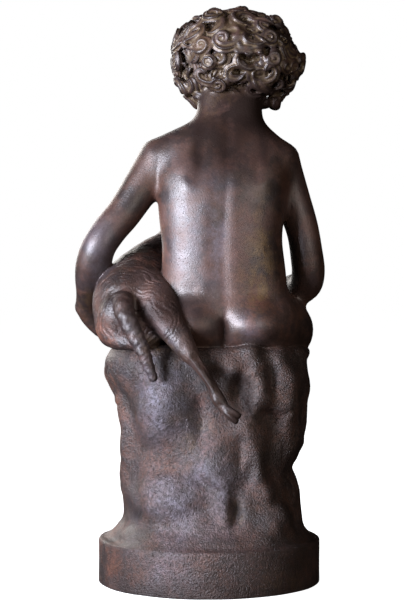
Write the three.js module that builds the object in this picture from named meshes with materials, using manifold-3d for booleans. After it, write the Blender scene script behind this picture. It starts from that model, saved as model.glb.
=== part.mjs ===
// A cast iron garden statue, one casting: a curly-headed boy sits on a rock over a round plinth, his left
// arm round a lamb. Its rump, tail and one hind leg hang over the rock's back, its head lies at his chest.
//
// Millimetres, +Z up. The origin is the centre of the plinth's underside. The boy faces -Y, +X is his left.
// Each form is a closed skin of its own, and all of them are fused into one solid at the end.
import * as THREE from "three";
import { mergeVertices } from "three/addons/utils/BufferGeometryUtils.js";
import Module from "manifold-3d";

const wasm = await Module();
wasm.setup();

// ---------- driving dimensions ----------
const plinth = { radius: 190, height: 76, edge: 4, sides: 40 };
const seatHeight = 405; // the top of the rock
// the head is bowed and leans to his right
const head = { centre: [-44, -42, 897], pitch: 0.38, roll: -0.14, yaw: -0.22 };
const hair = {
  centre: [-46, -28, 896],
  radii: [98, 83, 80],
  locks: 72,
  lockSize: 0.32,
  lockRise: 18,
  hairline: [0.5, 0.75], // from full hair to none, as the share of a direction that looks down and forward
  bareInset: 0.4, // how far the cap draws in under the face and neck, as a share of its radii
};

// ---------- shared helpers ----------
const vector = ([x, y, z]) => new THREE.Vector3(x, y, z);
const smooth = THREE.MathUtils.smoothstep;

// A closed geometry from a stack of rings, all of one length, with a pole at each end.
function closedRings(rings, firstPole, lastPole) {
  const around = rings[0].length;
  const points = [...rings.flat(), firstPole, lastPole];
  const pole = rings.length * around;
  const last = pole - around;
  const faces = [];
  for (let j = 0; j < around; j++) {
    const k = (j + 1) % around;
    faces.push(pole, k, j);
    faces.push(pole + 1, last + j, last + k);
    for (let low = 0; low < last; low += around) {
      faces.push(low + j, low + k, low + around + k);
      faces.push(low + j, low + around + k, low + around + j);
    }
  }
  const geometry = new THREE.BufferGeometry();
  const flat = points.flatMap((p) => [p.x, p.y, p.z]);
  geometry.setAttribute("position", new THREE.Float32BufferAttribute(flat, 3));
  geometry.setIndex(faces);
  return geometry;
}

const skinDefaults = { across: [1, 0, 0], around: 12, along: 1, corner: 2, level: false, dome: 0.8 };
const domeRing = { height: 0.72, size: 0.7 }; // the one ring that rounds a domed end

// An elliptical skin carried along the smooth line through its ribs [x, y, z, half width, half depth]: the
// width lies along `across`, square to the line. `corner` over 2 squares the section, `level` keeps all of
// them horizontal, and `dome` is the height of the two ends, as a share of the smaller half size there.
function skin(ribs, options) {
  const { across, around, along, corner, level, dome } = { ...skinDefaults, ...options };
  const line = new THREE.CatmullRomCurve3(ribs.map(vector), false, "catmullrom", 0.5);
  const sizes = new THREE.CatmullRomCurve3(
    ribs.map(([, , , wide, deep]) => new THREE.Vector3(wide, deep, 0)), false, "catmullrom", 0.5);
  const steps = (ribs.length - 1) * along;
  const side = vector(across);
  const rings = [];
  const poles = [];
  const ring = (centre, tangent, size, scale) => {
    side.addScaledVector(tangent, -side.dot(tangent)).normalize();
    const front = new THREE.Vector3().crossVectors(tangent, side);
    rings.push(Array.from({ length: around }, (_, j) => {
      const a = (j / around) * 2 * Math.PI;
      const [wide, deep] = [Math.cos(a), Math.sin(a)];
      const reach = scale * (Math.abs(wide) ** corner + Math.abs(deep) ** corner) ** (-1 / corner);
      return centre.clone()
        .addScaledVector(side, size.x * reach * wide)
        .addScaledVector(front, size.y * reach * deep);
    }));
  };
  const end = (centre, tangent, size, way) => {
    const height = way * dome * Math.min(size.x, size.y);
    poles.push(centre.clone().addScaledVector(tangent, height));
    if (dome === 0) return;
    ring(centre.clone().addScaledVector(tangent, height * domeRing.height), tangent, size, domeRing.size);
  };
  for (let i = 0; i <= steps; i++) {
    const centre = line.getPoint(i / steps);
    const tangent = level ? new THREE.Vector3(0, 0, 1) : line.getTangent(i / steps);
    const size = sizes.getPoint(i / steps);
    if (i === 0) end(centre, tangent, size, -1);
    ring(centre, tangent, size, 1);
    if (i === steps) end(centre, tangent, size, 1);
  }
  return closedRings(rings, ...poles);
}

// An ellipsoid, turned by XYZ angles in radians.
function ball(at, radii, turn = [0, 0, 0], around = 12, up = 8) {
  const geometry = new THREE.SphereGeometry(1, around, up).rotateX(Math.PI / 2).scale(...radii);
  geometry.applyMatrix4(new THREE.Matrix4().makeRotationFromEuler(new THREE.Euler(...turn)));
  return geometry.translate(...at);
}

// Moves each vertex out from `centreOf(vertex)` by the sum of soft swellings {at, size, rise}: a negative
// rise is a hollow.
function swell(geometry, swellings, centreOf) {
  const position = geometry.attributes.position;
  const p = new THREE.Vector3();
  for (let i = 0; i < position.count; i++) {
    p.fromBufferAttribute(position, i);
    const rise = swellings.reduce((sum, { at, size, rise: height }) => {
      const far = p.clone().sub(vector(at)).divide(vector(size));
      return sum + height * Math.exp(-far.lengthSq());
    }, 0);
    p.addScaledVector(p.clone().sub(centreOf(p)).normalize(), rise);
    position.setXYZ(i, p.x, p.y, p.z);
  }
  return geometry;
}

function solid(geometry) {
  const bare = geometry.clone();
  bare.deleteAttribute("normal");
  bare.deleteAttribute("uv");
  const merged = mergeVertices(bare, 1e-3);
  return new wasm.Manifold(new wasm.Mesh({
    numProp: 3,
    vertProperties: merged.attributes.position.array,
    triVerts: new Uint32Array(merged.index.array),
  }));
}

const fuse = (geometries) => geometries.map(solid).reduce((whole, form) => whole.add(form));

// ---------- plinth ----------
function plinthForms() {
  const { radius, height, edge, sides } = plinth;
  const profile = [
    new THREE.Vector2(0, 0),
    new THREE.Vector2(radius - edge, 0),
    new THREE.Vector2(radius, edge),
    new THREE.Vector2(radius, height - edge),
    new THREE.Vector2(radius - edge, height),
    new THREE.Vector2(0, height),
  ];
  return [new THREE.LatheGeometry(profile, sides).rotateX(Math.PI / 2)];
}

// ---------- rock ----------
function rockForms() {
  // up the pillar: a foot that spreads over the plinth, a waist, and a broad seat
  const ribs = [
    [-5, 14, 55, 160, 162],
    [-5, 14, 80, 161, 162],
    [-5, 7, 104, 152, 149],
    [-4, 2, 136, 149, 141],
    [-1, 0, 164, 151, 141],
    [1, 0, 190, 145, 137],
    [-7, 0, 218, 150, 137],
    [-14, 0, 250, 153, 138],
    [-8, 0, 288, 155, 138],
    [-5, 0, 325, 172, 140],
    [2, 0, 358, 180, 142],
    [4, 2, 382, 177, 139],
    [3, 2, 397, 168, 130],
    [2, 2, seatHeight, 148, 112],
  ];
  const pillar = skin(ribs, { around: 32, corner: 2.15, level: true, dome: 0 });
  const lumps = [
    // creases round the two boulders on the back, and the slope beside them
    { at: [68, 130, 206], size: [52, 90, 16], rise: -5 },
    { at: [14, 130, 272], size: [14, 90, 34], rise: -6 },
    { at: [-16, 130, 232], size: [30, 90, 44], rise: 8 },
    // ridges and pits on the back's other side
    { at: [-50, 130, 338], size: [15, 90, 20], rise: -15 },
    { at: [-38, 130, 370], size: [20, 90, 16], rise: 7 },
    { at: [-80, 130, 350], size: [16, 90, 44], rise: 9 },
    { at: [-104, 120, 330], size: [12, 90, 40], rise: -8 },
    { at: [-128, 100, 330], size: [18, 90, 44], rise: 7 },
    { at: [-51, 130, 236], size: [10, 90, 26], rise: -7 },
    { at: [-70, 130, 232], size: [16, 90, 36], rise: 8 },
    { at: [-100, 122, 208], size: [14, 90, 20], rise: -6 },
    { at: [-44, 130, 134], size: [14, 90, 24], rise: -10 },
    { at: [-102, 110, 116], size: [26, 90, 26], rise: 8 },
    { at: [-172, 10, 396], size: [30, 80, 16], rise: 8 },
    // boulders and clefts at the front, between and beside the boy's legs
    { at: [-28, -140, 330], size: [40, 60, 56], rise: 11 },
    { at: [4, -140, 258], size: [24, 60, 34], rise: -10 },
    { at: [120, -70, 305], size: [44, 60, 46], rise: 10 },
    { at: [-140, -40, 300], size: [40, 60, 50], rise: 8 },
    { at: [-34, -140, 170], size: [50, 60, 42], rise: 10 },
  ];
  swell(pillar, lumps, (p) => new THREE.Vector3(0, 0, p.z));
  const footstone = [
    [70, -110, 70, 66, 60],
    [69, -114, 108, 62, 58],
    [68, -118, 146, 55, 56],
    [67, -120, 169, 42, 50],
  ];
  const boulders = [
    ball([66, 70, 316], [60, 82, 92], [0, 0, 0], 12, 8),
    ball([52, 68, 152], [78, 80, 56], [0, 0, 0], 12, 7),
  ];
  // low ground heaped on the plinth's top
  const mounds = [
    ball([132, -26, 66], [46, 78, 29], [0, 0, 0], 12, 5),
    ball([-131, -14, 66], [46, 78, 25], [0, 0, 0], 12, 5),
    ball([30, 94, 62], [108, 80, 26], [0, 0, 0], 12, 5),
  ];
  return [
    pillar,
    skin(footstone, { around: 14, corner: 2.4, level: true, dome: 0.2 }),
    ...boulders,
    ...mounds,
  ];
}

// ---------- boy: body and limbs ----------
function trunkForms() {
  const ribs = [
    [-26, 48, 400, 100, 56],
    [-26, 50, 420, 110, 66],
    [-26, 51, 448, 112, 68],
    [-26, 49, 482, 109, 66],
    [-24, 50, 530, 106, 61],
    [-22, 50, 585, 104, 61],
    [-22, 46, 640, 108, 65],
    [-23, 37, 690, 112, 65],
    [-25, 29, 728, 104, 57],
    [-27, 22, 757, 82, 48],
    [-33, 15, 782, 65, 42],
    [-35, 11, 806, 58, 40],
    [-36, 3, 832, 57, 41],
    [-40, -10, 862, 53, 42],
  ];
  const trunk = skin(ribs, { around: 26, corner: 2.25, level: true, dome: 0 });
  const anatomy = [
    { at: [-24, 116, 640], size: [12, 60, 90], rise: -4 }, // the furrow of the spine
    { at: [26, 118, 438], size: [38, 60, 32], rise: 17 }, // buttocks, and the cleft between them
    { at: [-74, 118, 438], size: [38, 60, 32], rise: 17 },
    { at: [-25, 118, 424], size: [11, 60, 30], rise: -17 },
    { at: [-24, 118, 500], size: [50, 60, 20], rise: -2 }, // loins
    { at: [48, 96, 700], size: [26, 60, 34], rise: 6 }, // shoulder blades
    { at: [-102, 96, 700], size: [24, 60, 34], rise: 6 },
    { at: [-27, 90, 762], size: [60, 60, 20], rise: -3 },
    { at: [-24, -20, 540], size: [70, 60, 50], rise: 8 }, // belly
    { at: [22, -30, 690], size: [34, 60, 28], rise: 4 }, // chest
    { at: [-70, -30, 690], size: [34, 60, 28], rise: 4 },
  ];
  swell(trunk, anatomy, (p) => new THREE.Vector3(-24, 36, p.z));
  // collar and shoulders, from one upper arm to the other
  const yoke = [
    [82, 20, 723, 38, 38],
    [55, 21, 735, 44, 41],
    [16, 18, 746, 48, 44],
    [-30, 16, 749, 50, 46],
    [-74, 18, 744, 48, 43],
    [-98, 20, 732, 44, 40],
    [-116, 19, 719, 38, 37],
  ];
  return [trunk, skin(yoke, { across: [0, 1, 0], around: 14 })];
}

function limbForms() {
  const leftArm = [
    [84, 20, 720, 38, 38],
    [120, 30, 668, 32.5, 32.5],
    [145, 38, 630, 30, 30],
    [168, 46, 602, 29.5, 29.5],
    [187, 51, 573, 29.5, 29.5],
    [197, 38, 546, 30, 30],
    [203, 12, 520, 27, 27],
    [208, -15, 494, 22, 22],
    [211, -38, 471, 20, 22],
  ];
  const rightArm = [
    [-118, 18, 720, 38, 38],
    [-141, 16, 660, 31.5, 31.5],
    [-157, 12, 610, 30, 30],
    [-166, 8, 568, 28.5, 28.5],
    [-171, 0, 532, 28, 28],
    [-166, -18, 508, 27, 27],
    [-146, -54, 500, 26, 26],
    [-118, -86, 490, 22, 22],
    [-94, -112, 482, 18, 20],
  ];
  const rightLeg = [
    [-90, 44, 444, 65, 58],
    [-117, -8, 433, 62, 57],
    [-126, -62, 427, 55, 54],
    [-130, -114, 430, 47, 48],
    [-129, -152, 420, 42, 44],
    [-124, -152, 384, 38, 41],
    [-117, -138, 328, 36, 42],
    [-110, -124, 268, 28, 31],
    [-105, -112, 215, 22, 25],
  ];
  const leftLeg = [
    [32, 40, 450, 56, 56],
    [52, -10, 450, 57, 56],
    [62, -66, 452, 53, 54],
    [68, -114, 456, 46, 48],
    [70, -152, 448, 42, 44],
    [70, -156, 408, 38, 42],
    [68, -140, 350, 36, 42],
    [66, -122, 290, 28, 31],
    [64, -106, 236, 22, 25],
  ];
  const arm = { around: 12, across: [0, 1, 0] };
  const leg = { around: 12 };
  return [skin(leftArm, arm), skin(rightArm, arm), skin(rightLeg, leg), skin(leftLeg, leg)];
}

// Four fingers side by side from `knuckle` along `reach`, their tips bent by `curl`, and a thumb.
function digits(knuckle, reach, spread, curl, thumb) {
  const lengths = [0.92, 1, 0.95, 0.78];
  const size = { around: 5, across: spread };
  const made = lengths.map((length, i) => {
    const root = vector(knuckle).addScaledVector(vector(spread), i - 1.5);
    const middle = root.clone().addScaledVector(vector(reach), 0.55 * length);
    const tip = root.clone().addScaledVector(vector(reach), length).addScaledVector(vector(curl), length);
    return skin([[...root, 7.4, 8], [...middle, 7.2, 7.6], [...tip, 6, 6.4]], size);
  });
  return [...made, skin(thumb, size)];
}

function handForms() {
  const leftPalm = [
    [212, -38, 471, 20, 22],
    [208, -50, 455, 24, 19],
    [199, -62, 439, 30, 16],
    [187, -70, 425, 30, 12],
  ];
  const leftThumb = [[202, -72, 452, 10, 10], [190, -96, 450, 9, 9], [178, -110, 450, 7, 7]];
  const rightPalm = [
    [-94, -112, 482, 18, 18],
    [-80, -126, 482, 22, 15],
    [-60, -144, 485, 28, 13],
    [-44, -156, 487, 28, 11],
  ];
  const rightThumb = [[-62, -138, 502, 10, 10], [-42, -146, 516, 9, 9], [-26, -156, 520, 7, 7]];
  const palm = { around: 9 };
  return [
    skin(leftPalm, { ...palm, across: [0, 1, 0.2] }),
    ...digits([184, -70, 426], [-40, -14, -8], [0, 15, 1], [-2, 0, 6], leftThumb),
    skin(rightPalm, { ...palm, across: [0.5, 0.5, -0.75] }),
    ...digits([-42, -158, 487], [44, -24, 0], [3, 3, -14], [0, 14, 2], rightThumb),
  ];
}

// Five toes side by side from the big toe's root, each smaller and set further back than the one before.
function toeForms(root, reach, spread) {
  const pitch = Math.atan2(-reach[2], -reach[1]);
  const toes = [
    { beside: 0, size: 9 },
    { beside: 1.2, size: 6.2 },
    { beside: 2.2, size: 6.1 },
    { beside: 3.2, size: 6 },
    { beside: 4.2, size: 5.8 },
  ];
  return toes.map(({ beside, size }, i) => {
    const at = vector(root)
      .addScaledVector(vector(spread), beside)
      .addScaledVector(vector(reach), -0.14 * i);
    return ball(at.toArray(), [size, 15 - i, size], [pitch, 0, 0], 6, 4);
  });
}

function footForms() {
  const leftFoot = [
    [63, -76, 196, 22, 24],
    [64, -100, 203, 26, 30],
    [66, -134, 192, 28, 20],
    [68, -162, 184, 32, 14],
    [68, -177, 181, 31, 10],
  ];
  const rightFoot = [
    [-104, -76, 194, 22, 22],
    [-105, -98, 186, 26, 28],
    [-104, -126, 150, 28, 20],
    [-102, -145, 118, 32, 14],
    [-101, -153, 102, 31, 10],
  ];
  const foot = { around: 9 };
  return [
    skin(leftFoot, foot),
    ...toeForms([43, -188, 178], [0, -20, -3], [12.5, 0, 0]),
    skin(rightFoot, foot),
    ...toeForms([-76, -159, 92], [0, -8, -18], [-12.5, 0, 0]),
  ];
}

// ---------- boy: head ----------
function turned(geometry, centre) {
  const angles = new THREE.Euler(head.pitch, head.roll, head.yaw, "ZYX");
  const turn = new THREE.Matrix4().makeRotationFromEuler(angles);
  return geometry.applyMatrix4(turn).translate(...centre);
}

// A calm child's face, laid out upright about the head's centre with -Y forward.
function headForms() {
  const jaw = [
    [0, -8, -20, 64, 70],
    [0, -34, -54, 55, 46],
    [0, -54, -80, 38, 29],
    [0, -64, -94, 22, 17],
  ];
  const nose = [
    [0, -78, -8, 8, 7],
    [0, -88, -30, 9, 9],
    [0, -93, -44, 12, 9],
  ];
  const forms = [
    ball([0, 0, 2], [70, 86, 78], [0, 0, 0], 12, 8),
    skin(jaw, { around: 14 }),
    skin(nose, { around: 6, dome: 0.5 }),
    ball([0, -82, -62], [15, 8, 5], [0.3, 0, 0], 8, 4), // upper lip
    ball([0, -79, -71], [12, 8, 5], [0.3, 0, 0], 8, 4), // lower lip
    ball([0, -74, -88], [17, 13, 12], [0, 0, 0], 8, 5), // chin
  ];
  [-1, 1].forEach((side) => forms.push(
    ball([27 * side, -69, -18], [15, 11, 10], [0, 0, 0.25 * side], 8, 5), // eye under its lids
    ball([27 * side, -68, 0], [20, 12, 7], [0.2, 0, 0.3 * side], 8, 4), // brow
    ball([29 * side, -50, -44], [28, 27, 26], [0, 0, 0], 10, 6), // cheek
  ));
  return forms.map((form) => turned(form, head.centre));
}

// The hair is one cap whose surface rises into round curls, set out on an even spiral over the whole head.
function hairForms() {
  const golden = Math.PI * (3 - Math.sqrt(5));
  const curls = Array.from({ length: hair.locks }, (_, i) => {
    const z = 1 - (2 * (i + 0.5)) / hair.locks;
    const r = Math.sqrt(1 - z * z);
    return new THREE.Vector3(r * Math.cos(golden * i), r * Math.sin(golden * i), z);
  });
  const cap = new THREE.IcosahedronGeometry(1, 7);
  const position = cap.attributes.position;
  const d = new THREE.Vector3();
  for (let i = 0; i < position.count; i++) {
    d.fromBufferAttribute(position, i).normalize();
    const nearest = Math.min(...curls.map((curl) => curl.distanceTo(d))) / hair.lockSize;
    const open = smooth(-d.y - 0.7 * d.z, ...hair.hairline); // 1 where the face and neck are bare
    const rise = hair.lockRise * Math.sqrt(Math.max(0, 1 - nearest ** 2)) * (1 - open);
    const size = hair.radii.map((radius) => radius * (1 - hair.bareInset * open) + rise);
    position.setXYZ(i, d.x * size[0], d.y * size[1], d.z * size[2]);
  }
  const lowest = ball([-110, -12, 826], [17, 18, 17], [0, 0, 0], 10, 6);
  return [turned(cap, hair.centre), lowest];
}

// ---------- lamb ----------
function lambForms() {
  const fleece = [
    [148, 104, 452, 38, 42],
    [144, 86, 460, 50, 54],
    [137, 52, 480, 60, 63],
    [123, 8, 500, 61, 64],
    [107, -38, 516, 61, 62],
    [88, -80, 532, 60, 62],
    [68, -114, 552, 54, 57],
    [50, -134, 580, 45, 48],
    [34, -146, 604, 39, 41],
  ];
  const skull = [
    [30, -148, 616, 35, 36],
    [8, -162, 630, 33, 35],
    [-18, -178, 627, 26, 29],
    [-42, -190, 616, 19, 22],
    [-60, -197, 606, 15, 16],
  ];
  const tail = [
    [143, 120, 486, 17, 15],
    [139, 147, 464, 18, 17],
    [124, 158, 433, 16, 15],
    [109, 163, 403, 13, 12],
    [100, 162, 378, 10, 9],
    [89, 163, 354, 5.5, 5.5],
  ];
  const hindLeg = [
    [104, 58, 492, 42, 42],
    [88, 92, 472, 37, 38],
    [70, 120, 449, 29, 28],
    [48, 142, 420, 19, 20],
    [31, 153, 394, 13.5, 14],
    [10, 159, 367, 9.5, 10],
    [-6, 162, 342, 9, 9],
    [-15, 165, 323, 11, 11],
    [-26, 169, 308, 9.5, 9.5],
    [-40, 172, 298, 12, 10],
  ];
  const farHaunch = [
    [164, 62, 442, 24, 32],
    [158, 92, 428, 26, 25],
    [136, 114, 416, 20, 16],
    [112, 126, 412, 14, 11],
  ];
  const foreLeg = [
    [62, -122, 500, 26, 28],
    [36, -152, 478, 17, 19],
    [4, -176, 478, 11, 11],
    [-26, -186, 466, 9, 9],
    [-40, -190, 440, 8.5, 8.5],
    [-46, -190, 420, 10, 10],
  ];
  const beside = ([x, ...rest], shift) => [x + shift, ...rest];
  const ears = [
    [[26, -136, 648, 10, 6], [46, -116, 640, 15, 6], [62, -104, 618, 7, 4]],
    [[4, -190, 646, 10, 6], [16, -214, 636, 15, 6], [24, -226, 612, 7, 4]],
  ];
  const leg = { around: 8 };
  return [
    skin(fleece, { around: 16 }),
    skin(skull, { around: 10 }),
    ball([22, -154, 650], [30, 32, 20], [0, 0.2, 0], 8, 6), // topknot
    skin(tail, { around: 10 }),
    skin(hindLeg, { ...leg, around: 10 }),
    skin(farHaunch, leg),
    ball([112, 84, 434], [50, 46, 36], [0, 0, 0], 12, 7), // the groin between tail and thigh
    ...[0, 23].map((shift) => skin(foreLeg.map((rib) => beside(rib, shift)), leg)),
    ...ears.map((ribs) => skin(ribs, { across: [0.4, 0.5, 0.8], around: 6 })),
  ];
}

// ---------- the casting ----------
function asGeometry(manifold) {
  const { numProp, vertProperties, triVerts } = manifold.getMesh();
  const points = Array.from({ length: vertProperties.length / numProp },
    (_, i) => [...vertProperties.subarray(i * numProp, i * numProp + 3)]);
  const geometry = new THREE.BufferGeometry();
  geometry.setAttribute("position", new THREE.Float32BufferAttribute(points.flat(), 3));
  geometry.setIndex(new THREE.BufferAttribute(new Uint32Array(triVerts), 1));
  geometry.computeVertexNormals();
  return geometry;
}

const casting = fuse([
  ...plinthForms(),
  ...rockForms(),
  ...trunkForms(),
  ...limbForms(),
  ...handForms(),
  ...footForms(),
  ...headForms(),
  ...hairForms(),
  ...lambForms(),
]);

const iron = new THREE.MeshStandardMaterial({ color: 0x3b2c29, roughness: 0.45, metalness: 0.55 });
const statue = new THREE.Mesh(asGeometry(casting), iron);
statue.name = "statue";

const part = new THREE.Group();
part.add(statue);
export default part;
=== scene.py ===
import math
import bpy
import numpy as np
import openvdb
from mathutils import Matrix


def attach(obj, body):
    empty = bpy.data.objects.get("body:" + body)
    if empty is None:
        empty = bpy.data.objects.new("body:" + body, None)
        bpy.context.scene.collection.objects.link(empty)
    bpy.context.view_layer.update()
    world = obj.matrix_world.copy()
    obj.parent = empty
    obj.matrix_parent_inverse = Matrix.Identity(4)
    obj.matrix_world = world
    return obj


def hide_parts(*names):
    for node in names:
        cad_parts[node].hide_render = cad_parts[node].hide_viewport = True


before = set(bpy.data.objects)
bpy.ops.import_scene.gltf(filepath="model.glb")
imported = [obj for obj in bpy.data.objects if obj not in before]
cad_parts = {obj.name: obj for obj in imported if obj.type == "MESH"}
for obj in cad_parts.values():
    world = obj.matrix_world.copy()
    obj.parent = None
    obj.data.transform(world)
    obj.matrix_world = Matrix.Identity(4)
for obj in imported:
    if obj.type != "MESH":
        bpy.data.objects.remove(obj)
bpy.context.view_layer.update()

# The statue is one iron casting. Each form below is a closed skin given by a few ribs, in millimetres in the
# frame of the solids: the plinth's underside is z = 0, the boy faces -Y and +X is his left. The skins become
# distances on a fine grid of cubes, run together there as clay does, are carved, and come back as one surface.
work = {"voxel": 1.4, "reach": 26.0, "triangles": 196000, "seed": 11}
rng = np.random.default_rng(work["seed"])


# ---------- grid and forms ----------
# A uniform Catmull-Rom spline through the rows of knots, every column alike, with each end row mirrored outwards:
# p(t) = (2b + (c-a)t + (2a-5b+4c-d)t^2 + (3b-a-3c+d)t^3) / 2
def splineRows(knots, steps):
    k = np.asarray(knots, float)
    k = np.vstack([2 * k[0] - k[1], k, 2 * k[-1] - k[-2]])
    a, b, c, d = (k[i:len(k) - 3 + i, None, :] for i in range(4))
    t = (np.arange(steps) / steps)[None, :, None]
    rows = (2 * b + (c - a) * t + (2 * a - 5 * b + 4 * c - d) * t ** 2 + (3 * b - a - 3 * c + d) * t ** 3) / 2
    return np.vstack([rows.reshape(-1, k.shape[1]), k[-2]])


# A closed tube skin: point(i, a) = centre(i) + side(i) * width(i) * reach(a) * cos a + front(i) * depth(i) * reach(a)
# * sin a, where reach(a) = (|cos a|^n + |sin a|^n)^(-1/n) squares the section, and quarter-circle caps close both ends
def tubeSkin(ribs, across=(1, 0, 0), around=28, steps=6, corner=2.0, level=False, dome=0.8, ripple=None):
    rows = splineRows(ribs, steps)
    centre, size = rows[:, :3], rows[:, 3:5]
    tangent = np.gradient(centre, axis=0)
    tangent = np.tile([0.0, 0.0, 1.0], (len(rows), 1)) if level else tangent
    tangent /= np.linalg.norm(tangent, axis=1, keepdims=True)
    cap = np.linspace(0, 1, 6)[1:] * math.pi / 2 * 0.98
    rise, shrink = np.sin(cap)[:, None], np.cos(cap)[:, None]
    first, last = dome * size[0].min(), dome * size[-1].min()
    centre = np.vstack([(centre[0] - tangent[0] * first * rise)[::-1], centre, centre[-1] + tangent[-1] * last * rise])
    size = np.vstack([(size[0] * shrink)[::-1], size, size[-1] * shrink])
    tangent = np.vstack([np.tile(tangent[0], (5, 1)), tangent, np.tile(tangent[-1], (5, 1))])
    side = np.asarray(across, float) - tangent * (tangent @ np.asarray(across, float))[:, None]
    side /= np.linalg.norm(side, axis=1, keepdims=True)
    front = np.cross(tangent, side)
    a = np.arange(around) * 2 * math.pi / around
    reach = (np.abs(np.cos(a)) ** corner + np.abs(np.sin(a)) ** corner) ** (-1 / corner)
    swell = 1.0
    if ripple is not None:
        swell = ripple(np.linspace(0, 1, len(centre))[:, None], a[None, :])[..., None]
    rings = (centre[:, None] + swell * (side[:, None] * (size[:, :1] * (reach * np.cos(a)))[..., None]
             + front[:, None] * (size[:, 1:] * (reach * np.sin(a)))[..., None]))
    return closeRings(rings)


# Triangles over a stack of rings, closed with a fan to a middle point at each end
def closeRings(rings):
    count, around = rings.shape[:2]
    points = np.vstack([rings.reshape(-1, 3), rings[0].mean(0), rings[-1].mean(0)])
    j = np.arange(around)
    k = (j + 1) % around
    low = np.arange(count - 1)[:, None] * around
    quads = np.stack([low + j, low + k, low + around + k, low + around + j], axis=-1).reshape(-1, 4)
    top = (count - 1) * around
    ends = np.vstack([np.stack([0 * j + count * around, k, j], axis=1),
                      np.stack([0 * j + count * around + 1, top + j, top + k], axis=1)])
    return points, np.vstack([quads[:, [0, 1, 2]], quads[:, [0, 2, 3]], ends])


# An ellipsoid skin: point(u, v) = centre + turn * (rx sin u cos v, ry sin u sin v, rz cos u)
def ballSkin(centre, radii, turn=(0, 0, 0), around=36, up=24):
    u = np.linspace(math.pi * 0.985, math.pi * 0.015, up)[:, None]
    v = np.arange(around)[None, :] * 2 * math.pi / around
    shape = np.stack([np.sin(u) * np.cos(v), np.sin(u) * np.sin(v), np.cos(u) + 0 * v], axis=-1) * radii
    return closeRings(shape @ turnMatrix(turn).T + np.asarray(centre, float))


def turnMatrix(turn):
    (cx, cy, cz), (sx, sy, sz) = np.cos(turn), np.sin(turn)
    aboutX = np.array([[1, 0, 0], [0, cx, -sx], [0, sx, cx]])
    aboutY = np.array([[cy, 0, sy], [0, 1, 0], [-sy, 0, cy]])
    aboutZ = np.array([[cz, -sz, 0], [sz, cz, 0], [0, 0, 1]])
    return aboutZ @ aboutY @ aboutX


def joinSkins(skins):
    starts = np.cumsum([0] + [len(points) for points, _ in skins[:-1]])
    return np.vstack([p for p, _ in skins]), np.vstack([f + s for (_, f), s in zip(skins, starts)])


# Signed distance in mm to a closed skin, negative inside, on the cubes around it
def distances(skin, reach):
    voxel = work["voxel"]
    grid = openvdb.FloatGrid.createLevelSetFromPolygons(
        points=skin[0].astype(np.float32), triangles=skin[1].astype(np.uint32),
        transform=openvdb.createLinearTransform(voxelSize=voxel), halfWidth=reach / voxel)
    low, high = (np.array(corner) for corner in grid.evalActiveVoxelBoundingBox())
    dist = np.full(high - low + 1, reach, np.float32)
    grid.copyToArray(dist, ijk=tuple(int(v) for v in low))
    return low, dist


def newVolume(low, high):
    corner = np.floor(np.array(low) / work["voxel"]).astype(int)
    shape = np.ceil(np.array(high) / work["voxel"]).astype(int) - corner + 1
    return {"low": corner, "dist": np.full(shape, work["reach"], np.float32)}


def overlap(volume, low, shape):
    start = np.maximum(low, volume["low"])
    stop = np.minimum(low + shape, volume["low"] + volume["dist"].shape)
    inner = tuple(slice(int(a), int(b)) for a, b in zip(start - volume["low"], stop - volume["low"]))
    outer = tuple(slice(int(a), int(b)) for a, b in zip(start - low, stop - low))
    return inner, outer


# Adds a form with a fillet: new = min(a, b) - soft/4 * (1 - |a-b|/soft)^2, where the two distances are closer than soft
def mergeDistances(volume, low, dist, soft):
    inner, outer = overlap(volume, low, dist.shape)
    was, add = volume["dist"][inner], dist[outer]
    near = np.clip(1 - np.abs(was - add) / soft, 0, 1)
    volume["dist"][inner] = np.minimum(was, add) - near * near * (soft / 4)


def addForm(volume, skin, soft):
    mergeDistances(volume, *distances(skin, work["reach"]), soft)


# Takes a form away with a rounded edge: new = max(a, -b) + soft/4 * (1 - |a+b|/soft)^2
def cutForm(volume, skin, soft):
    low, dist = distances(skin, max(3 * soft, 5 * work["voxel"]))
    inner, outer = overlap(volume, low, dist.shape)
    was, cut = volume["dist"][inner], -dist[outer]
    near = np.clip(1 - np.abs(was - cut) / soft, 0, 1)
    volume["dist"][inner] = np.maximum(was, cut) + near * near * (soft / 4)


def axes(volume, inner=None):
    inner = inner or tuple(slice(0, n) for n in volume["dist"].shape)
    return [(volume["low"][i] + np.arange(inner[i].start, inner[i].stop)) * work["voxel"] for i in range(3)]


# Raises the surface by soft swellings, rise * exp(-((x-x0)/sx)^2 - ((y-y0)/sy)^2 - ((z-z0)/sz)^2), in rows of
# [x0, y0, z0, sx, sy, sz, rise]; a negative rise sinks it
def swell(volume, rows):
    for row in np.asarray(rows, float):
        middle, size, rise = row[:3], row[3:6], row[6]
        low = np.floor((middle - 2.4 * size) / work["voxel"]).astype(int)
        shape = np.ceil(4.8 * size / work["voxel"]).astype(int)
        inner, _ = overlap(volume, low, shape)
        if any(s.stop <= s.start for s in inner):
            continue
        ex, ey, ez = (np.exp(-((a - m) / s) ** 2) for a, m, s in zip(axes(volume, inner), middle, size))
        volume["dist"][inner] -= (rise * ex[:, None, None] * ey[None, :, None] * ez[None, None, :]).astype(np.float32)


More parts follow.
